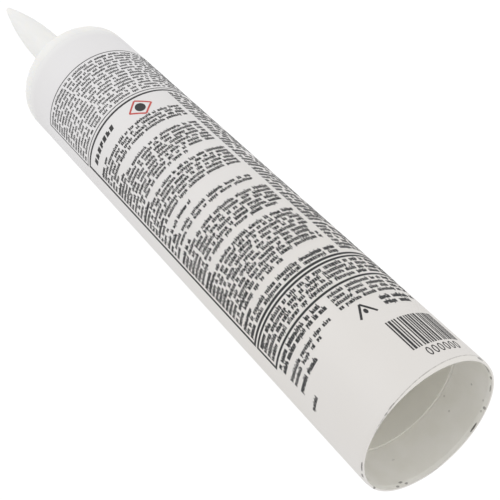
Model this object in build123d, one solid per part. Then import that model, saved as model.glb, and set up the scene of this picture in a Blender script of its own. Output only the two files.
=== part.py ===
from build123d import *
import os

# Caulk tube: a round plastic cartridge with a moulded head and a closed nozzle at the top, open at the
# rear, where a cup-shaped plunger is pushed up the bore to drive the sealant out. Millimetres.
# The origin is the centre of the rear rim, +Z runs up the axis to the nozzle tip.

# Barrel: extruded tube, cut square, with a slight bevel outside and inside at the open rear rim
barrel_outer_diameter = 49.5
barrel_wall = 1.1
barrel_length = 219.8
rim_bevel_length = 1.5
rim_bevel_depth = 0.25
bore_bevel_depth = 0.3

# Head: moulded disc fused over the barrel's end, with a spigot inside the bore
head_skirt_length = 3.6
shoulder_radius = 3.0
head_thickness = 2.0
spigot_length = 5.0
spigot_wall = 1.2

# Nozzle: grows out of the head, a gentle taper and then a pointed round-nosed tip, closed
nozzle_height = 72.0
nozzle_base_radius = 7.85
nozzle_fillet = 2.5
nozzle_shoulder_height = 33.4
nozzle_shoulder_radius = 6.67
nozzle_tip_radius = 1.3
nozzle_wall = 1.4
nozzle_tip_plug = 5.0
nozzle_bore_end_radius = 0.7

# Inner seal: thin disc bonded under the head across the outlet
seal_thickness = 0.2
seal_overlap = 3.0

# Plunger: thin-walled cup, open to the rear, straight inside, with a wiping lip outside at each end
plunger_recess = 15.8
plunger_height = 22.0
plunger_running_clearance = 0.05
plunger_wall = 1.0
plunger_web = 2.0
lip_height = 2.4
lip_stand_out = 0.3
lip_blend = 1.2
lip_edge_bevel = 0.3

# Sealant: fills the bore between the plunger and the head
sealant_clearance = 0.1

# Places worked out from the sizes above
barrel_radius = barrel_outer_diameter / 2
bore_radius = barrel_radius - barrel_wall
spigot_inner_radius = bore_radius - spigot_wall
shoulder_start_z = barrel_length + head_skirt_length
head_top_z = shoulder_start_z + shoulder_radius
head_underside_z = head_top_z - head_thickness
nozzle_tip_z = head_top_z + nozzle_height
nozzle_shoulder_z = head_top_z + nozzle_shoulder_height
outlet_radius = nozzle_base_radius - nozzle_wall
spigot_end_z = barrel_length - spigot_length
plunger_front_z = plunger_recess + plunger_height


def turned(points):
    """A solid turned about Z from a closed outline of straight sides, given as radius and height."""
    return revolve(Plane.XZ * make_face(Polyline(*points, close=True)), Axis.Z)


def nozzle_taper_direction():
    """The direction of the nozzle's lower, straight taper, as radius and height."""
    return (nozzle_shoulder_radius - nozzle_base_radius, nozzle_shoulder_height)


def nozzle_blank():
    """The nozzle's outer form: a straight taper, a long arc tangent to it and a small round nose."""
    base = (nozzle_base_radius, head_top_z)
    shoulder = (nozzle_shoulder_radius, nozzle_shoulder_z)
    nose = (nozzle_tip_radius, nozzle_tip_z - nozzle_tip_radius)
    tip = (0, nozzle_tip_z)
    foot = (0, head_underside_z)
    taper = Line(base, shoulder)
    flank = TangentArc(shoulder, nose, tangent=nozzle_taper_direction())
    round_nose = RadiusArc(nose, tip, -nozzle_tip_radius)
    sides = Polyline(tip, foot, (nozzle_base_radius, head_underside_z), base)
    outline = make_face(taper + flank + round_nose + sides)
    return revolve(Plane.XZ * outline, Axis.Z)


def nozzle_bore():
    """The hollow in the nozzle: one wall inside its outer form, ending below the solid tip."""
    start = (outlet_radius, head_underside_z)
    base = (outlet_radius, head_top_z)
    shoulder = (nozzle_shoulder_radius - nozzle_wall, nozzle_shoulder_z)
    end = (nozzle_bore_end_radius, nozzle_tip_z - nozzle_tip_plug)
    flank = TangentArc(shoulder, end, tangent=nozzle_taper_direction())
    sides = Polyline(end, (0, end[1]), (0, head_underside_z), start, base, shoulder)
    return revolve(Plane.XZ * make_face(flank + sides), Axis.Z)


def barrel():
    """The tube wall, bevelled outside and inside at the rear rim."""
    return turned(
        [
            (bore_radius, rim_bevel_length),
            (bore_radius + bore_bevel_depth, 0),
            (barrel_radius - rim_bevel_depth, 0),
            (barrel_radius, rim_bevel_length),
            (barrel_radius, barrel_length),
            (bore_radius, barrel_length),
        ]
    )


def nozzle_head():
    """The head with its skirt, rounded shoulder, spigot and nozzle, in one moulding."""
    disc = turned(
        [
            (0, barrel_length),
            (barrel_radius, barrel_length),
            (barrel_radius, head_top_z),
            (0, head_top_z),
        ]
    )
    disc = fillet(disc.edges().sort_by(Axis.Z)[-1], shoulder_radius)
    head = disc + nozzle_blank()
    base_edges = head.edges().filter_by(GeomType.CIRCLE)
    base_edge = base_edges.sort_by(lambda edge: abs(edge.radius - nozzle_base_radius))[0]
    head = fillet(base_edge, nozzle_fillet)
    spigot = turned(
        [
            (spigot_inner_radius, spigot_end_z),
            (bore_radius, spigot_end_z),
            (bore_radius, barrel_length),
            (spigot_inner_radius, barrel_length),
        ]
    )
    hollow = turned(
        [
            (0, barrel_length),
            (spigot_inner_radius, barrel_length),
            (spigot_inner_radius, head_underside_z),
            (0, head_underside_z),
        ]
    )
    return head + spigot - hollow - nozzle_bore()


def inner_seal():
    """The disc across the outlet, face to face with the head's underside."""
    seal_radius = outlet_radius + seal_overlap
    low_z = head_underside_z - seal_thickness
    return turned(
        [(0, low_z), (seal_radius, low_z), (seal_radius, head_underside_z), (0, head_underside_z)]
    )


def plunger():
    """The cup: a web at the front, a thin wall, and a lip at each end that wipes the bore."""
    lip_radius = bore_radius - plunger_running_clearance
    waist_radius = lip_radius - lip_stand_out
    cup_radius = waist_radius - plunger_wall
    rear_z = plunger_recess
    front_z = plunger_front_z
    return turned(
        [
            (cup_radius, rear_z),
            (lip_radius - lip_edge_bevel, rear_z),
            (lip_radius, rear_z + lip_edge_bevel),
            (lip_radius, rear_z + lip_height),
            (waist_radius, rear_z + lip_height + lip_blend),
            (waist_radius, front_z - lip_height - lip_blend),
            (lip_radius, front_z - lip_height),
            (lip_radius, front_z),
            (0, front_z),
            (0, front_z - plunger_web),
            (cup_radius, front_z - plunger_web),
        ]
    )


def sealant():
    """The fill, clear of the bore, the plunger, the spigot and the seal by one small gap."""
    low_z = plunger_front_z + sealant_clearance
    step_z = spigot_end_z - sealant_clearance
    high_z = head_underside_z - seal_thickness - sealant_clearance
    wide = bore_radius - sealant_clearance
    narrow = spigot_inner_radius - sealant_clearance
    return turned(
        [(0, low_z), (wide, low_z), (wide, step_z), (narrow, step_z), (narrow, high_z), (0, high_z)]
    )


os.makedirs("parts", exist_ok=True)
export_step(barrel(), "parts/barrel.step")
export_step(nozzle_head(), "parts/nozzle_head.step")
export_step(inner_seal(), "parts/inner_seal.step")
export_step(plunger(), "parts/plunger.step")
export_step(sealant(), "parts/sealant.step")
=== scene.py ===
import math
import random

import bpy
from mathutils import Matrix, Vector


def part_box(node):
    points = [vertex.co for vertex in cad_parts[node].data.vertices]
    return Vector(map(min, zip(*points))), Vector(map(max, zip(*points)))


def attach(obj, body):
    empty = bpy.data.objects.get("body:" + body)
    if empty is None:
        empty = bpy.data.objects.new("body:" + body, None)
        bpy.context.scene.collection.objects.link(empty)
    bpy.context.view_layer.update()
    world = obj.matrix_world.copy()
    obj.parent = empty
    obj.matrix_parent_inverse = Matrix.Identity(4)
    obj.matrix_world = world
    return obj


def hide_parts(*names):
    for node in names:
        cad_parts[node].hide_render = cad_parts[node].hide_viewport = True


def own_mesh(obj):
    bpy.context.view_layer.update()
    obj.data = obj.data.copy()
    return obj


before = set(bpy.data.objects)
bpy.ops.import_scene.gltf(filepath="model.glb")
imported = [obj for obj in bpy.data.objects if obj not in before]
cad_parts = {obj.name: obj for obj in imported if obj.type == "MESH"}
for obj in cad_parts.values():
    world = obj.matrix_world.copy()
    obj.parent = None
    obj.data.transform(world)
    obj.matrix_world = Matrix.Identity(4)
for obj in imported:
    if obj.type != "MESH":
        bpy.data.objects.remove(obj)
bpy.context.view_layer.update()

# --------------------------------------------------------------------------------------------------
# Barrel. An extruded tube of white high-density polyethylene, cut square at the open rear end and
# bevelled a little there, with no label: the print lies straight on the plastic.

MM = 0.001
barrel_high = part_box("barrel")[1]
barrel_radius = barrel_high.x
barrel_top = barrel_high.z
# The plunger's lips run against the bore, so they give its radius.
bore_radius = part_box("plunger")[1].x


def linear(hex_colour):
    """An sRGB hex colour as linear red, green, blue and alpha."""
    channels = [int(hex_colour[i : i + 2], 16) / 255 for i in (1, 3, 5)]
    return [c / 12.92 if c <= 0.04045 else ((c + 0.055) / 1.055) ** 2.4 for c in channels] + [1.0]


def new_material(name):
    """An empty node material."""
    material = bpy.data.materials.new(name)
    material.use_nodes = True
    material.node_tree.nodes.clear()
    return material


def add_node(owner, kind, inputs=None, **settings):
    """Adds a node with its settings to a material or world. Each input gets a value, or a link from an
    output, or from the first output of another node."""
    tree = owner.node_tree
    node = tree.nodes.new(kind)
    for name, value in settings.items():
        setattr(node, name, value)
    for name, value in (inputs or {}).items():
        if isinstance(value, bpy.types.Node):
            value = value.outputs[0]
        if isinstance(value, bpy.types.NodeSocket):
            tree.links.new(value, node.inputs[name])
        else:
            node.inputs[name].default_value = value
    return node


def wear(piece, material):
    """Puts one material on every face of a piece."""
    piece.data.materials.clear()
    piece.data.materials.append(material)


def extruded_polyethylene():
    """White-pigmented polyethylene, extruded: an even satin white, with faint lines drawn along the tube
    by the die, a greyer and warmer bore set a little low as painted shade, a painted highlight just under
    the head, a painted highlight band at the rim under a trim line that is partly painted shade, and black
    scuffs where the cut rim has rubbed on shelves."""
    white, shade = "#E7E6E7", "#E3E1E1"
    rear_white, rear_shade = "#E4E1DE", "#E0DCD7"
    # The white of a painted highlight just under the head.
    shoulder_glow_white = "#F0F0EE"
    # The bore's own warmer tints, set a little low as painted shade.
    bore_tint_and_shade, bore_haze_and_shade = "#EAE8E3", "#E5E3DC"
    # A paler white for a painted highlight under the trim line, and the grey of the line, which is partly
    # dirt and partly painted shade.
    rim_highlight_white, trim_dirt_and_shade_grey = "#E9E6DE", "#8F8C86"
    scuff_black = "#3B3835"
    yellow_from, yellow_full = 190 * MM, 60 * MM
    shoulder_glow_length, shoulder_glow_share = 4 * MM, 0.6
    bore_from, bore_full = bore_radius + 0.5 * MM, bore_radius + 0.2 * MM
    haze_from, haze_full = 0.35, 0.65
    trim_middle, trim_slope = 0.45 * MM, 1.3 * MM / barrel_radius
    trim_fade, rim_highlight_share = 0.2 * MM, 0.4
    trim_line_reach, trim_line_dirt_and_shade_share = 0.32 * MM, 0.7
    dirt_and_shade_from, dirt_and_shade_full = 0.1, 0.6
    smear_from, smear_full = 0.12, 0.3
    mottle_size = 28 * MM
    haze_size = 7 * MM
    ragged_size = 0.7 * MM
    # The die's lines and the skin's pebble are under 0.1 mm and too fine to show, so they are coarser.
    die_line_pitch = 1.1 * MM
    pebble_size, pebble_share = 0.5 * MM, 0.35
    relief_depth, relief_strength = 0.02 * MM, 0.35
    glossiest, dullest = 0.42, 0.54
    # Each scuff: degrees round from the front, height above the rim, its length and height, its strength.
    rim_scuffs = [
        (-8, 0.4, 3.4, 0.5, 0.45),
        (-14, 0.2, 2.2, 0.5, 0.4),
        (-61, 0.4, 6.2, 0.7, 0.8),
        (-72, 0.5, 2.8, 0.9, 0.8),
        (-95, 0.0, 1.8, 0.9, 0.65),
        (-125, 0.6, 1.8, 0.9, 0.6),
        (-130, 1.6, 2.2, 1.0, 0.6),
        (-134, 0.7, 1.8, 0.8, 0.6),
        (76, 0.8, 4.0, 1.6, 0.6),
        (92, 0.8, 9.0, 0.9, 0.5),
        (106, 0.5, 2.2, 1.1, 0.7),
        (119, 0.6, 4.2, 0.7, 0.5),
        (134, 1.9, 1.2, 0.7, 0.3),
        (139, 0.6, 1.5, 1.3, 0.6),
        (143, 1.1, 1.2, 0.8, 0.35),
        (157, 0.5, 5.0, 0.7, 0.85),
    ]
    bore_specks = [
        (130, 7.7, 1.0, 0.9, 0.34),
        (161, 10.3, 1.0, 0.9, 0.26),
        (155, 14.6, 1.0, 0.8, 0.24),
        (-140, 10.0, 1.6, 0.8, 0.18),
    ]

    m = new_material("extruded white polyethylene")
    place = add_node(m, "ShaderNodeTexCoord").outputs["Object"]
    split = add_node(m, "ShaderNodeSeparateXYZ", {"Vector": place}).outputs
    mottle = add_node(m, "ShaderNodeTexNoise", {"Vector": place, "Scale": 1 / mottle_size, "Detail": 2.0})

    # The plastic is a little yellower towards the open end. Just under the head it turns paler: a painted
    # highlight for light showing through the thin plastic where the head is fused on.
    front = {0: mottle, 6: linear(white), 7: linear(shade)}
    front_end = add_node(m, "ShaderNodeMix", front, data_type="RGBA").outputs[2]
    rear = {0: mottle, 6: linear(rear_white), 7: linear(rear_shade)}
    rear_end = add_node(m, "ShaderNodeMix", rear, data_type="RGBA").outputs[2]
    yellowing = add_node(
        m, "ShaderNodeMapRange", {"Value": split["Z"], "From Min": yellow_from, "From Max": yellow_full}
    )
    along_tube = {0: yellowing, 6: front_end, 7: rear_end}
    body = add_node(m, "ShaderNodeMix", along_tube, data_type="RGBA").outputs[2]
    # Painted highlight: the top few millimetres of the barrel are paled as if lit through the head.
    shoulder_glow_mask = add_node(
        m,
        "ShaderNodeMapRange",
        {
            "Value": split["Z"],
            "From Min": barrel_top - shoulder_glow_length,
            "From Max": barrel_top,
            "To Max": shoulder_glow_share,
        },
    )
    shoulder_glow_mix = {0: shoulder_glow_mask, 6: body, 7: linear(shoulder_glow_white)}
    body = add_node(m, "ShaderNodeMix", shoulder_glow_mix, data_type="RGBA").outputs[2]

    # The bore, with its haze and a warmer tint that is set a little low as painted shade inside the tube:
    # everything nearer the axis than the middle of the wall.
    flat = add_node(m, "ShaderNodeVectorMath", {0: place, 1: (1, 1, 0)}, operation="MULTIPLY")
    from_axis = add_node(m, "ShaderNodeVectorMath", {0: flat}, operation="LENGTH").outputs["Value"]
    in_bore = add_node(
        m, "ShaderNodeMapRange", {"Value": from_axis, "From Min": bore_from, "From Max": bore_full}
    )
    haze = add_node(m, "ShaderNodeTexNoise", {"Vector": place, "Scale": 1 / haze_size, "Detail": 3.0})
    hazy = add_node(m, "ShaderNodeMapRange", {"Value": haze, "From Min": haze_from, "From Max": haze_full})
    hazed = {0: hazy, 6: linear(bore_tint_and_shade), 7: linear(bore_haze_and_shade)}
    bore = add_node(m, "ShaderNodeMix", hazed, data_type="RGBA").outputs[2]
    colour = add_node(m, "ShaderNodeMix", {0: in_bore, 6: body, 7: bore}, data_type="RGBA").outputs[2]

    # The cutter left a trim line round the outside, a little out of square. Below it, on the outside only, a
    # painted highlight makes a paler band along the rim's bevel. On the line itself, a grey line broken by a
    # ragged noise is partly dirt caught in it and partly painted shade at the bevel's edge.
    trim_height = add_node(
        m, "ShaderNodeMath", {0: split["X"], 1: trim_slope, 2: trim_middle}, operation="MULTIPLY_ADD"
    )
    below_trim = add_node(m, "ShaderNodeMath", {0: trim_height, 1: split["Z"]}, operation="SUBTRACT")
    outside = add_node(m, "ShaderNodeMath", {0: 1.0, 1: in_bore}, operation="SUBTRACT")
    # Painted highlight: a paler band below the trim line, on the outside only.
    rim_highlight_ramp = add_node(
        m,
        "ShaderNodeMapRange",
        {"Value": below_trim, "From Min": 0.0, "From Max": trim_fade, "To Max": rim_highlight_share},
    )
    rim_highlight_mask = add_node(m, "ShaderNodeMath", {0: rim_highlight_ramp, 1: outside}, operation="MULTIPLY")
    rim_highlight_mix = {0: rim_highlight_mask, 6: colour, 7: linear(rim_highlight_white)}
    colour = add_node(m, "ShaderNodeMix", rim_highlight_mix, data_type="RGBA").outputs[2]
    ragged = add_node(m, "ShaderNodeTexNoise", {"Vector": place, "Scale": 1 / ragged_size, "Detail": 3.0})
    from_line = add_node(m, "ShaderNodeMath", {0: below_trim}, operation="ABSOLUTE")
    on_line = add_node(
        m, "ShaderNodeMapRange", {"Value": from_line, "From Min": trim_line_reach, "From Max": 0.0}
    )
    line = add_node(m, "ShaderNodeMath", {0: on_line, 1: outside}, operation="MULTIPLY")
    broken_line = add_node(m, "ShaderNodeMath", {0: line, 1: ragged}, operation="MULTIPLY")
    # The grey line is partly dirt and partly painted shade at the edge of the bevel.
    dirt_and_shade = add_node(
        m,
        "ShaderNodeMapRange",
        {"Value": broken_line, "From Min": dirt_and_shade_from, "From Max": dirt_and_shade_full, "To Max": trim_line_dirt_and_shade_share},
    )
    dirt_and_shade_mix = {0: dirt_and_shade, 6: colour, 7: linear(trim_dirt_and_shade_grey)}
    colour = add_node(m, "ShaderNodeMix", dirt_and_shade_mix, data_type="RGBA").outputs[2]

    # Scuffs: ragged smears on the rim and specks in the bore, drawn on the barrel unrolled flat.
    to_front = add_node(m, "ShaderNodeMath", {0: split["Y"], 1: -1.0}, operation="MULTIPLY")
    turned = add_node(m, "ShaderNodeMath", {0: split["X"], 1: to_front}, operation="ARCTAN2")
    for scuff in rim_scuffs + bore_specks:
        degrees, height, length, tall, strength = scuff
        turn = add_node(m, "ShaderNodeMath", {0: turned, 1: math.radians(degrees)}, operation="SUBTRACT")
        across = add_node(m, "ShaderNodeMath", {0: turn, 1: barrel_radius}, operation="MULTIPLY")
        along = add_node(m, "ShaderNodeMath", {0: across, 1: length / 2 * MM}, operation="DIVIDE")
        above = add_node(m, "ShaderNodeMath", {0: split["Z"], 1: height * MM}, operation="SUBTRACT")
        up = add_node(m, "ShaderNodeMath", {0: above, 1: tall / 2 * MM}, operation="DIVIDE")
        up_squared = add_node(m, "ShaderNodeMath", {0: up, 1: up}, operation="MULTIPLY")
        spread = add_node(m, "ShaderNodeMath", {0: along, 1: along, 2: up_squared}, operation="MULTIPLY_ADD")
        smear = add_node(m, "ShaderNodeMapRange", {"Value": spread, "From Min": 1.0, "From Max": 0.0})
        dark = add_node(m, "ShaderNodeMath", {0: smear, 1: ragged}, operation="MULTIPLY")
        if scuff in bore_specks:
            dark = add_node(m, "ShaderNodeMath", {0: dark, 1: in_bore}, operation="MULTIPLY")
        rubbed = add_node(
            m,
            "ShaderNodeMapRange",
            {"Value": dark, "From Min": smear_from, "From Max": smear_full, "To Max": strength},
        )
        scuffed = {0: rubbed, 6: colour, 7: linear(scuff_black)}
        colour = add_node(m, "ShaderNodeMix", scuffed, data_type="RGBA").outputs[2]

    # The die's lines run along the tube: a noise stretched a hundred times in Z, under a fine pebble.
    drawn = add_node(m, "ShaderNodeVectorMath", {0: place, 1: (1, 1, 0.01)}, operation="MULTIPLY")
    lines = add_node(m, "ShaderNodeTexNoise", {"Vector": drawn, "Scale": 1 / die_line_pitch, "Detail": 1.0})
    pebble = add_node(m, "ShaderNodeTexNoise", {"Vector": place, "Scale": 1 / pebble_size, "Detail": 2.0})
    relief = add_node(m, "ShaderNodeMath", {0: pebble, 1: pebble_share, 2: lines}, operation="MULTIPLY_ADD")
    bump = add_node(
        m, "ShaderNodeBump", {"Height": relief, "Distance": relief_depth, "Strength": relief_strength}
    )
    gloss = add_node(m, "ShaderNodeMapRange", {"Value": mottle, "To Min": glossiest, "To Max": dullest})
    skin = {"Base Color": colour, "Roughness": gloss, "IOR": 1.53, "Normal": bump}
    plastic = add_node(m, "ShaderNodeBsdfPrincipled", skin)
    add_node(m, "ShaderNodeOutputMaterial", {"Surface": plastic})
    return m


wear(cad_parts["barrel"], extruded_polyethylene())

# --------------------------------------------------------------------------------------------------
# Print. Black and red ink screened straight onto the barrel: ruled panels, rows of small type, a
# diamond, an angle and a block of bars. The type is rows of plain marks that spell nothing.

# The real coat is a few hundredths of a millimetre. This one is thicker and sunk in part below the
# barrel's surface, so that it shows whole over the flats of the barrel's mesh.
ink_in, ink_out = 0.06 * MM, 0.03 * MM
# Places on the print are in millimetres: across, round the barrel from the front, and up from the rim.
facet_length = 1.5
disc_facets = 12
ring_facets = 20
# A mark's post and block, as shares of its width and height, and what stands above or hangs below it.
post_share = 0.56
notch_share = 0.3
stem_width = 0.3
riser_share, tail_share = 0.4, 0.35
left_riser_odds, riser_odds, tail_odds = 0.22, 0.34, 0.16
letter_weights = (0.55, 0.95, 1.0, 1.05, 1.1, 1.5)
letter_gap, bold_letter_gap = 0.15, 0.08
# Words: letters in each, the space between them in letters, and how often one is in bold.
word_lengths = (2, 2, 3, 4, 5, 6, 7, 8, 9, 11)
tightest_space, widest_space = 0.9, 1.8
bold_word_odds = 0.08
# A row takes no word shorter than this, in letters, and its last word takes up a shorter end than this.
shortest_word, shortest_end = 1.2, 2


class Ink:
    """The faces of one printed piece: closed slabs of ink that follow the barrel's curve."""

    def __init__(self):
        self.points = []
        self.faces = []

    def point(self, across, up, depth):
        """A point at a distance round the barrel and up from the rim, above or below its surface."""
        turn = across * MM / barrel_radius
        radius = barrel_radius + depth
        self.points.append((radius * math.sin(turn), -radius * math.cos(turn), up * MM))

    def slab(self, low_edge, high_edge):
        """A closed slab between two edges, each a list of (across, up) from left to right."""
        first = len(self.points)
        for low, high in zip(low_edge, high_edge):
            self.point(*low, -ink_in)
            self.point(*high, -ink_in)
            self.point(*high, ink_out)
            self.point(*low, ink_out)
        count = len(low_edge)
        for i in range(count - 1):
            a = first + 4 * i
            b = a + 4
            for j in range(4):
                k = (j + 1) % 4
                self.faces.append((a + j, a + k, b + k, b + j))
        last = first + 4 * (count - 1)
        self.faces.append((first + 3, first + 2, first + 1, first))
        self.faces.append((last, last + 1, last + 2, last + 3))

    def bar(self, left, right, low, high, slant=0.0, foot=0.0):
        """A bar with level edges. A slant leans it to the right above its foot."""
        steps = max(1, round((right - left) / facet_length))
        across = [left + (right - left) * i / steps for i in range(steps + 1)]
        low_shift, high_shift = slant * (low - foot), slant * (high - foot)
        self.slab([(x + low_shift, low) for x in across], [(x + high_shift, high) for x in across])

    def stroke(self, start, end, width):
        """A straight stroke of even width between two points."""
        dx, dy = end[0] - start[0], end[1] - start[1]
        size = math.hypot(dx, dy)
        nx, ny = -dy / size * width / 2, dx / size * width / 2
        steps = max(1, round(size / facet_length))
        line = [(start[0] + dx * i / steps, start[1] + dy * i / steps) for i in range(steps + 1)]
        self.slab([(x - nx, y - ny) for x, y in line], [(x + nx, y + ny) for x, y in line])

    def ruled_panel(self, left, right, low, high, line):
        """Four rules round a panel, measured over the outside of the lines."""
        self.bar(left, right, high - line, high)
        self.bar(left, right, low, low + line)
        self.bar(left, left + line, low + line, high - line)
        self.bar(right - line, right, low + line, high - line)

    def disc(self, across, up, wide, tall):
        """A round or oval dot."""
        turns = [math.pi * i / disc_facets for i in range(disc_facets + 1)]
        low = [(across - wide / 2 * math.cos(t), up - tall / 2 * math.sin(t)) for t in turns]
        high = [(across - wide / 2 * math.cos(t), up + tall / 2 * math.sin(t)) for t in turns]
        self.slab(low, high)

    def ring(self, across, up, wide, tall, line):
        """A round or oval outline."""
        turns = [math.tau * i / ring_facets for i in range(ring_facets + 1)]
        outer, inner = [
            [(across + w * math.cos(t), up + h * math.sin(t)) for t in turns]
            for w, h in ((wide / 2, tall / 2), (wide / 2 - line, tall / 2 - line))
        ]
        self.slab(outer, inner)

    def mark(self, left, right, low, high, draw, slant=0.0):
        """One mark in place of a letter: an upright post with a shorter block at its side."""
        post = post_share * (right - left)
        self.bar(left, left + post, low, high, slant, low)
        waist = low + notch_share * (high - low)
        head = high - notch_share * (high - low)
        bottom, top = draw.choice(((low, high), (low, head), (waist, high), (low, high)))
        self.bar(left + post, right, bottom, top, slant, low)

    def word(self, left, right, middle, height, letter, draw, bold):
        """One word of marks side by side, some with a stem that stands above or hangs below."""
        count = max(1, round((right - left) / letter))
        weights = [draw.choice(letter_weights) for _ in range(count)]
        scale = (right - left) / sum(weights)
        gap = bold_letter_gap if bold else letter_gap
        low = middle - height / 2
        high = middle + height / 2
        x = left
        for weight in weights:
            end = x + weight * scale - gap
            self.mark(x, end, low, high, draw)
            stem = min(stem_width, end - x)
            rise, drop = draw.random(), draw.random()
            if rise < riser_odds:
                side = x if rise < left_riser_odds else end - stem
                self.bar(side, side + stem, high, high + riser_share * height)
            elif drop < tail_odds:
                self.bar(x, x + stem, low - tail_share * height, low)
            x += weight * scale

    def row(self, left, right, middle, height, letter, draw, fill=1.0, bold_words=0):
        """One justified row of words, with the first few in bold."""
        end = left + (right - left) * fill
        space = letter * draw.uniform(tightest_space, widest_space)
        x = left
        words = 0
        while x < end - shortest_word * letter:
            size = draw.choice(word_lengths) * letter
            stop = min(x + size, end)
            if end - stop < shortest_end * letter:
                stop = end
            bold = words < bold_words or draw.random() < bold_word_odds
            self.word(x, stop, middle, height, letter, draw, bold)
            x = stop + space
            words += 1


def printed(name, ink, material):
    """Makes the printed piece and puts it on the barrel's body."""
    mesh = bpy.data.meshes.new(name)
    mesh.from_pydata(ink.points, [], ink.faces)
    mesh.validate()
    piece = bpy.data.objects.new(name, mesh)
    bpy.context.scene.collection.objects.link(piece)
    wear(piece, material)
    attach(piece, "tube")


def screen_ink(name, thick, thin):
    """Screen ink on polyethylene: matt, a little paler where the coat is thin over the plastic."""
    coat_size = 1.5 * MM
    m = new_material(name)
    place = add_node(m, "ShaderNodeTexCoord").outputs["Object"]
    coat = add_node(m, "ShaderNodeTexNoise", {"Vector": place, "Scale": 1 / coat_size, "Detail": 2.0})
    tones = {0: coat, 6: linear(thick), 7: linear(thin)}
    colour = add_node(m, "ShaderNodeMix", tones, data_type="RGBA").outputs[2]
    ink = add_node(m, "ShaderNodeBsdfPrincipled", {"Base Color": colour, "Roughness": 0.6, "IOR": 1.45})
    add_node(m, "ShaderNodeOutputMaterial", {"Surface": ink})
    return m


black_ink = screen_ink("black screen ink", "#2A2A2B", "#3A3A3B")
grey_ink = screen_ink("thin black screen ink", "#444445", "#555555")
red_ink = screen_ink("red screen ink", "#BE4A45", "#CC6059")

panel_left = -23.95
panel_right = 66.0
type_left = -22.2
first_column_right = 21.6
second_column_left = 23.5
type_right = 64.6
row_pitch = 2.02
type_height = 1.24
heavy_type_height = 1.34
letter_width = 0.76
all_bold = 9

# Upper panel: a thin frame round fifteen close rows.
upper_low, upper_high, upper_rule = 168.0, 201.05, 0.45
upper_rows, upper_first_row, upper_row_pitch = 15, 198.6, 2.036
upper_type_height, upper_letter_width = 1.04, 0.66
upper_outset = 0.6
upper_indent = 1.0
upper_ink = Ink()
upper_draw = random.Random(11)
upper_ink.ruled_panel(panel_left - upper_outset, panel_right, upper_low, upper_high, upper_rule)
for i in range(upper_rows):
    upper_ink.row(
        type_left - upper_indent,
        type_right,
        upper_first_row - i * upper_row_pitch,
        upper_type_height,
        upper_letter_width,
        upper_draw,
    )
printed("print_upper_panel", upper_ink, grey_ink)

# Main panel: a heavy frame, with two columns of headed paragraphs. Each paragraph is its heading's
# height and length, then its first row's height, how many rows follow and how far the last one goes.
main_low, main_high, main_rule = 54.0, 166.95, 0.95
main_outset = 0.15
first_column = [
    (155.8, 8.5, 153.7, 5, 0.19),
    (143.1, 9.0, 141.2, 8, 0.72),
    (124.4, 8.5, 122.4, 7, 0.20),
    (107.7, 5.0, 0.0, 0, 0.0),
    (105.4, 7.5, 103.4, 2, 0.95),
    (98.0, 10.0, 95.9, 6, 0.98),
    (83.1, 9.0, 81.1, 10, 0.62),
    (60.4, 8.5, 58.4, 2, 1.0),
]
second_column = [
    (163.9, 6.0, 161.9, 6, 0.4),
    (149.3, 7.0, 147.3, 3, 0.9),
    (140.7, 9.0, 138.7, 9, 0.5),
    (120.0, 8.0, 118.0, 5, 0.8),
    (107.4, 10.0, 105.3, 7, 0.3),
    (90.7, 8.0, 88.7, 8, 0.9),
    (72.0, 7.0, 70.0, 7, 0.6),
]
heading_height, heading_letter_width = 1.3, 0.85
heavy_type_below = 100


def set_column(ink, paragraphs, left, right, draw):
    """Sets a column of headed paragraphs, in heavier type in its lower half."""
    for heading_up, heading_length, rows_up, rows, last_fill in paragraphs:
        heading_right = left + heading_length
        ink.row(
            left, heading_right, heading_up, heading_height, heading_letter_width, draw, bold_words=all_bold
        )
        height = type_height if rows_up > heavy_type_below else heavy_type_height
        for i in range(rows):
            fill = last_fill if i == rows - 1 else 1.0
            ink.row(left, right, rows_up - i * row_pitch, height, letter_width, draw, fill)


main_ink = Ink()
main_draw = random.Random(23)
main_ink.ruled_panel(panel_left - main_outset, panel_right, main_low, main_high, main_rule)
set_column(main_ink, first_column, type_left, first_column_right, main_draw)
remark_left, remark_right, remark_up = -16.0, -2.5, 107.7
main_ink.row(remark_left, remark_right, remark_up, type_height, letter_width, main_draw)

# Seven large slanted marks head the main panel.
head_mark_count, head_mark_left, head_mark_pitch, head_mark_width = 7, -19.9, 2.4, 1.75
head_mark_low, head_mark_high, head_mark_slant = 160.45, 162.85, 0.2
for i in range(head_mark_count):
    left = head_mark_left + i * head_mark_pitch
    right = left + head_mark_width
    main_ink.mark(left, right, head_mark_low, head_mark_high, main_draw, head_mark_slant)
printed("print_main_panel", main_ink, black_ink)

second_ink = Ink()
set_column(second_ink, second_column, second_column_left, type_right, random.Random(31))
printed("print_second_column", second_ink, grey_ink)

# A red diamond outline round a plain dark dot, at the head of the main panel.
diamond_across, diamond_up, diamond_reach, diamond_line = 8.75, 159.9, 4.7, 0.75
dot_width, dot_height = 3.9, 4.9
diamond_ink = Ink()
corners = [
    (diamond_across - diamond_reach, diamond_up),
    (diamond_across, diamond_up - diamond_reach),
    (diamond_across + diamond_reach, diamond_up),
    (diamond_across, diamond_up + diamond_reach),
]
for start, end in zip(corners, corners[1:] + corners[:1]):
    diamond_ink.stroke(start, end, diamond_line)
printed("print_red_diamond", diamond_ink, red_ink)
dot_ink = Ink()
dot_ink.disc(diamond_across, diamond_up, dot_width, dot_height)
printed("print_dot", dot_ink, black_ink)

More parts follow.
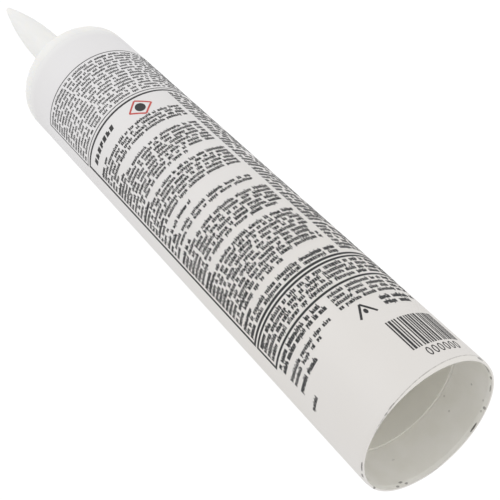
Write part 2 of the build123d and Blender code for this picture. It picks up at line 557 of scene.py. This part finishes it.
# Lower panel and the notes under it. Each row is its left and right ends, its height above the rim and
# how many of its words are in bold.
lower_low, lower_high, lower_rule = 42.35, 53.3, 0.85
lower_outset = 0.1
lower_letter_width = 0.8
bold_type_height = 1.45
note_type_height = 1.18
lower_rows = [
    (type_left, type_right, 50.95, 2),
    (type_left, type_right, 48.95, 0),
    (type_left, type_right, 46.95, 0),
    (type_left, type_right, 44.85, 0),
    (type_left, 4.4, 40.65, all_bold),
    (type_left, 3.5, 38.5, all_bold),
    (5.9, 35.0, 40.8, 0),
    (5.9, 33.5, 38.8, 0),
    (5.9, 35.0, 36.8, 0),
    (5.9, 34.0, 34.8, 0),
    (type_left, 2.0, 34.5, 0),
    (type_left, -3.6, 32.5, 0),
    (type_left, -9.2, 29.3, all_bold),
    (18.1, 33.5, 31.4, all_bold),
    (18.1, 31.0, 29.0, all_bold),
    (-24.3, -18.6, 23.1, 0),
]
lower_ink = Ink()
lower_draw = random.Random(47)
lower_ink.ruled_panel(panel_left - lower_outset, panel_right, lower_low, lower_high, lower_rule)
for left, right, middle, bold_words in lower_rows:
    height = heavy_type_height if middle > lower_low else note_type_height
    if bold_words:
        height = bold_type_height
    lower_ink.row(left, right, middle, height, lower_letter_width, lower_draw, bold_words=bold_words)

# A plain angle over a dot.
angle_left, angle_top, angle_right, angle_line = (8.2, 27.3), (11.1, 32.4), (14.2, 27.4), 0.75
lower_ink.stroke(angle_left, angle_top, angle_line)
lower_ink.stroke(angle_top, angle_right, angle_line)
angle_dot_across, angle_dot_up, angle_dot_width, angle_dot_height = 11.2, 29.2, 1.3, 2.0
lower_ink.disc(angle_dot_across, angle_dot_up, angle_dot_width, angle_dot_height)

# A block of upright bars over six rings.
bar_count, bars_left, bars_low, bars_high = 18, 12.5, 9.2, 22.1
bar_widths = (0.45, 0.8, 0.4, 0.5, 0.45, 0.85, 0.4, 0.5, 0.65)
bar_gaps = (0.42, 0.5, 0.42, 0.8, 0.4, 0.55, 0.42)
x = bars_left
for i in range(bar_count):
    width = bar_widths[i % len(bar_widths)]
    lower_ink.bar(x, x + width, bars_low, bars_high)
    x += width + bar_gaps[i % len(bar_gaps)]
ring_count, first_ring, ring_pitch, ring_up = 6, 16.2, 2.2, 6.65
ring_width, ring_height, ring_line = 1.65, 3.3, 0.38
for i in range(ring_count):
    lower_ink.ring(first_ring + i * ring_pitch, ring_up, ring_width, ring_height, ring_line)
printed("print_lower_panel", lower_ink, black_ink)

# --------------------------------------------------------------------------------------------------
# Head and nozzle. One injection moulding of natural polyethylene, fused over the barrel's end: a skirt,
# a rounded shoulder, a flat disc and a long nozzle that is still closed at the tip.


def natural_polyethylene():
    """Unfilled polyethylene, moulded: milky and warm, light passes a little way in, smooth satin skin."""
    milk, thick_milk = "#F3F2F0", "#EFEEEA"
    cloud_size = 14 * MM
    # The mould's fine spark finish is too fine to show, so it is drawn at over half a millimetre.
    finish_size, finish_depth, finish_strength = 0.6 * MM, 0.01 * MM, 0.3
    glossiest, dullest = 0.36, 0.46
    light_depth = 2.5 * MM
    m = new_material("moulded natural polyethylene")
    place = add_node(m, "ShaderNodeTexCoord").outputs["Object"]
    cloud = add_node(m, "ShaderNodeTexNoise", {"Vector": place, "Scale": 1 / cloud_size, "Detail": 2.0})
    tones = {0: cloud, 6: linear(milk), 7: linear(thick_milk)}
    colour = add_node(m, "ShaderNodeMix", tones, data_type="RGBA").outputs[2]
    skin = add_node(m, "ShaderNodeTexNoise", {"Vector": place, "Scale": 1 / finish_size, "Detail": 2.0})
    bump = add_node(
        m, "ShaderNodeBump", {"Height": skin, "Distance": finish_depth, "Strength": finish_strength}
    )
    gloss = add_node(m, "ShaderNodeMapRange", {"Value": cloud, "To Min": glossiest, "To Max": dullest})
    plastic = add_node(
        m,
        "ShaderNodeBsdfPrincipled",
        {
            "Base Color": colour,
            "Roughness": gloss,
            "IOR": 1.51,
            "Subsurface Weight": 0.35,
            "Subsurface Radius": (1.0, 0.9, 0.75),
            "Subsurface Scale": light_depth,
            "Normal": bump,
        },
    )
    add_node(m, "ShaderNodeOutputMaterial", {"Surface": plastic})
    return m


wear(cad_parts["nozzle_head"], natural_polyethylene())

# --------------------------------------------------------------------------------------------------
# Inner seal. A disc of aluminium foil, heat-bonded under the head across the outlet.


def bonded_foil():
    """Aluminium foil pressed against the head: bright metal with a fine crinkle."""
    bright, dull = "#D5D6D8", "#C2C3C6"
    crinkle_size, crinkle_depth, crinkle_strength = 2.5 * MM, 0.1 * MM, 0.5
    m = new_material("heat-bonded aluminium foil")
    place = add_node(m, "ShaderNodeTexCoord").outputs["Object"]
    crinkle = add_node(m, "ShaderNodeTexNoise", {"Vector": place, "Scale": 1 / crinkle_size, "Detail": 4.0})
    tones = {0: crinkle, 6: linear(bright), 7: linear(dull)}
    colour = add_node(m, "ShaderNodeMix", tones, data_type="RGBA").outputs[2]
    bump = add_node(
        m, "ShaderNodeBump", {"Height": crinkle, "Distance": crinkle_depth, "Strength": crinkle_strength}
    )
    skin = {"Base Color": colour, "Metallic": 1.0, "Roughness": 0.35, "Normal": bump}
    foil = add_node(m, "ShaderNodeBsdfPrincipled", skin)
    add_node(m, "ShaderNodeOutputMaterial", {"Surface": foil})
    return m


wear(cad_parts["inner_seal"], bonded_foil())

# --------------------------------------------------------------------------------------------------
# Sealant. A smooth grey-white paste pumped in from the rear before the plunger. It fills the bore, and
# it shortens towards the head as the plunger comes up.

sealant_low, sealant_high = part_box("sealant")
spigot_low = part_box("nozzle_head")[0].z


def sealant_paste():
    """Water-based paste: soft, wet sheen over faint swirls left by the filling nozzle."""
    pale, grey = "#B9B8B4", "#A9A8A3"
    swirl_size, swirl_depth, swirl_strength = 8 * MM, 0.3 * MM, 0.5
    m = new_material("pumped water-based paste")
    place = add_node(m, "ShaderNodeTexCoord").outputs["Object"]
    folds = {"Vector": place, "Scale": 1 / swirl_size, "Detail": 3.0, "Distortion": 1.2}
    swirl = add_node(m, "ShaderNodeTexNoise", folds)
    tones = {0: swirl, 6: linear(pale), 7: linear(grey)}
    colour = add_node(m, "ShaderNodeMix", tones, data_type="RGBA").outputs[2]
    bump = add_node(
        m, "ShaderNodeBump", {"Height": swirl, "Distance": swirl_depth, "Strength": swirl_strength}
    )
    paste = add_node(
        m, "ShaderNodeBsdfPrincipled", {"Base Color": colour, "Roughness": 0.32, "Normal": bump}
    )
    add_node(m, "ShaderNodeOutputMaterial", {"Surface": paste})
    return m


def paste_fill():
    """The paste turned about the axis: rounded where it meets the plunger, stepped in at the spigot."""
    sides = 96
    spigot_wall = 1.2 * MM
    spigot_clearance = 0.1 * MM
    round_off = 0.8 * MM
    wide = sealant_high.x
    narrow = wide - spigot_wall
    step = spigot_low - spigot_clearance
    outline = [
        (wide - round_off, sealant_low.z),
        (wide, sealant_low.z + round_off),
        (wide, step - round_off),
        (narrow, step),
        (narrow, sealant_high.z),
    ]
    points = []
    for radius, z in outline:
        for i in range(sides):
            turn = math.tau * i / sides
            points.append((radius * math.cos(turn), radius * math.sin(turn), z))
    faces = []
    for ring in range(len(outline) - 1):
        for i in range(sides):
            j = (i + 1) % sides
            a, b = ring * sides, (ring + 1) * sides
            faces.append((a + i, a + j, b + j, b + i))
    bottom, top = len(points), len(points) + 1
    points += [(0.0, 0.0, sealant_low.z), (0.0, 0.0, sealant_high.z)]
    last = (len(outline) - 1) * sides
    for i in range(sides):
        j = (i + 1) % sides
        faces.append((bottom, j, i))
        faces.append((top, last + i, last + j))
    mesh = bpy.data.meshes.new("sealant_fill")
    mesh.from_pydata(points, [], faces)
    mesh.validate()
    return mesh


sealant = bpy.data.objects.new("sealant_fill", paste_fill())
bpy.context.scene.collection.objects.link(sealant)
wear(sealant, sealant_paste())
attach(sealant, "tube")
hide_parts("sealant")
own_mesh(sealant)

# --------------------------------------------------------------------------------------------------
# Plunger. A thin cup moulded in natural polyethylene, pushed in from the rear after filling, with a
# wiping lip at each end. Its open side faces the gun's ram.


def plunger_polyethylene():
    """Moulded polyethylene in the shade of the bore: warm grey-white, satin, a little dusty."""
    clean, dusty = "#E5E3DC", "#DFDDD5"
    dust_size = 6 * MM
    # The mould's fine spark finish is too fine to show, so it is drawn at under a millimetre.
    finish_size, finish_depth, finish_strength = 0.8 * MM, 0.015 * MM, 0.3
    m = new_material("moulded plunger polyethylene")
    place = add_node(m, "ShaderNodeTexCoord").outputs["Object"]
    dust = add_node(m, "ShaderNodeTexNoise", {"Vector": place, "Scale": 1 / dust_size, "Detail": 4.0})
    tones = {0: dust, 6: linear(clean), 7: linear(dusty)}
    colour = add_node(m, "ShaderNodeMix", tones, data_type="RGBA").outputs[2]
    skin = add_node(m, "ShaderNodeTexNoise", {"Vector": place, "Scale": 1 / finish_size, "Detail": 2.0})
    bump = add_node(
        m, "ShaderNodeBump", {"Height": skin, "Distance": finish_depth, "Strength": finish_strength}
    )
    surface = {"Base Color": colour, "Roughness": 0.5, "IOR": 1.51, "Normal": bump}
    plastic = add_node(m, "ShaderNodeBsdfPrincipled", surface)
    add_node(m, "ShaderNodeOutputMaterial", {"Surface": plastic})
    return m


wear(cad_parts["plunger"], plunger_polyethylene())

# --------------------------------------------------------------------------------------------------
# Studio. A pale floor just under the rim, soft white light from all round, and a camera that looks up
# into the open rear end from below.


def studio_floor():
    """A matt pale floor that camera rays see only from above, so that the view into the open rear end,
    which looks up through it, stays clear."""
    floor_grey = "#E2E1DE"
    m = new_material("pale studio floor")
    behind = add_node(m, "ShaderNodeNewGeometry").outputs["Backfacing"]
    from_camera = add_node(m, "ShaderNodeLightPath").outputs["Is Camera Ray"]
    above = add_node(m, "ShaderNodeMath", {0: 1.0, 1: behind}, operation="SUBTRACT")
    seen = add_node(m, "ShaderNodeMath", {0: above, 1: from_camera}, operation="MULTIPLY")
    matt = add_node(m, "ShaderNodeBsdfDiffuse", {"Color": linear(floor_grey)})
    clear = add_node(m, "ShaderNodeBsdfTransparent")
    mixed = add_node(m, "ShaderNodeMixShader", {0: seen, 1: clear, 2: matt})
    add_node(m, "ShaderNodeOutputMaterial", {"Surface": mixed})
    return m


# Metres: wide enough to fill the views from above, and clear of the rim.
floor_reach, floor_z = 8.0, -0.3 * MM
floor_corners = [
    (-floor_reach, -floor_reach, floor_z),
    (floor_reach, -floor_reach, floor_z),
    (floor_reach, floor_reach, floor_z),
    (-floor_reach, floor_reach, floor_z),
]
floor_mesh = bpy.data.meshes.new("floor")
floor_mesh.from_pydata(floor_corners, [], [(0, 1, 2, 3)])
floor = bpy.data.objects.new("floor", floor_mesh)
bpy.context.scene.collection.objects.link(floor)
wear(floor, studio_floor())

# The room is a soft white that lights the tube. Seen straight, it is pure white.
room_light, room_seen = 0.87, 1.05
white = linear("#FFFFFF")
room = bpy.data.worlds.new("white studio")
room.use_nodes = True
room.node_tree.nodes.clear()
bpy.context.scene.world = room
lit = add_node(room, "ShaderNodeBackground", {"Color": white, "Strength": room_light})
backdrop = add_node(room, "ShaderNodeBackground", {"Color": white, "Strength": room_seen})
from_camera = add_node(room, "ShaderNodeLightPath").outputs["Is Camera Ray"]
walls = add_node(room, "ShaderNodeMixShader", {0: from_camera, 1: lit, 2: backdrop})
add_node(room, "ShaderNodeOutputWorld", {"Surface": walls})


def softbox(name, place, aim, size, power):
    """A square area light that faces a point."""
    data = bpy.data.lights.new(name, "AREA")
    data.size = size
    data.energy = power
    light = bpy.data.objects.new(name, data)
    light.location = place
    light.rotation_euler = (Vector(aim) - Vector(place)).to_track_quat("-Z", "Y").to_euler()
    bpy.context.scene.collection.objects.link(light)


softbox("key_softbox", place=(-0.1, -0.85, 0.6), aim=(0, 0, 0.12), size=0.7, power=1.3)
softbox("mouth_softbox", place=(0.5, -0.25, -0.6), aim=(0, 0, 0), size=0.5, power=0.56)

# The camera stands in front, far below the rim, and is rolled so that the tube lies across the frame.
aim = Vector((-0.0003, 0, 0.0945))
distance = 0.3774
elevation = math.radians(-39.34)
roll = math.radians(-45.27)
lens_length = 78.95
nearest_seen = 0.01
back = Vector((0, -math.cos(elevation), math.sin(elevation)))
turn = back.to_track_quat("Z", "Y").to_matrix().to_4x4() @ Matrix.Rotation(roll, 4, "Z")
camera_data = bpy.data.cameras.new("camera")
camera_data.lens = lens_length
camera_data.clip_start = nearest_seen
camera = bpy.data.objects.new("camera", camera_data)
camera.matrix_world = Matrix.Translation(aim + back * distance) @ turn
bpy.context.scene.collection.objects.link(camera)
bpy.context.scene.camera = camera
bpy.context.scene.view_settings.view_transform = "Standard"
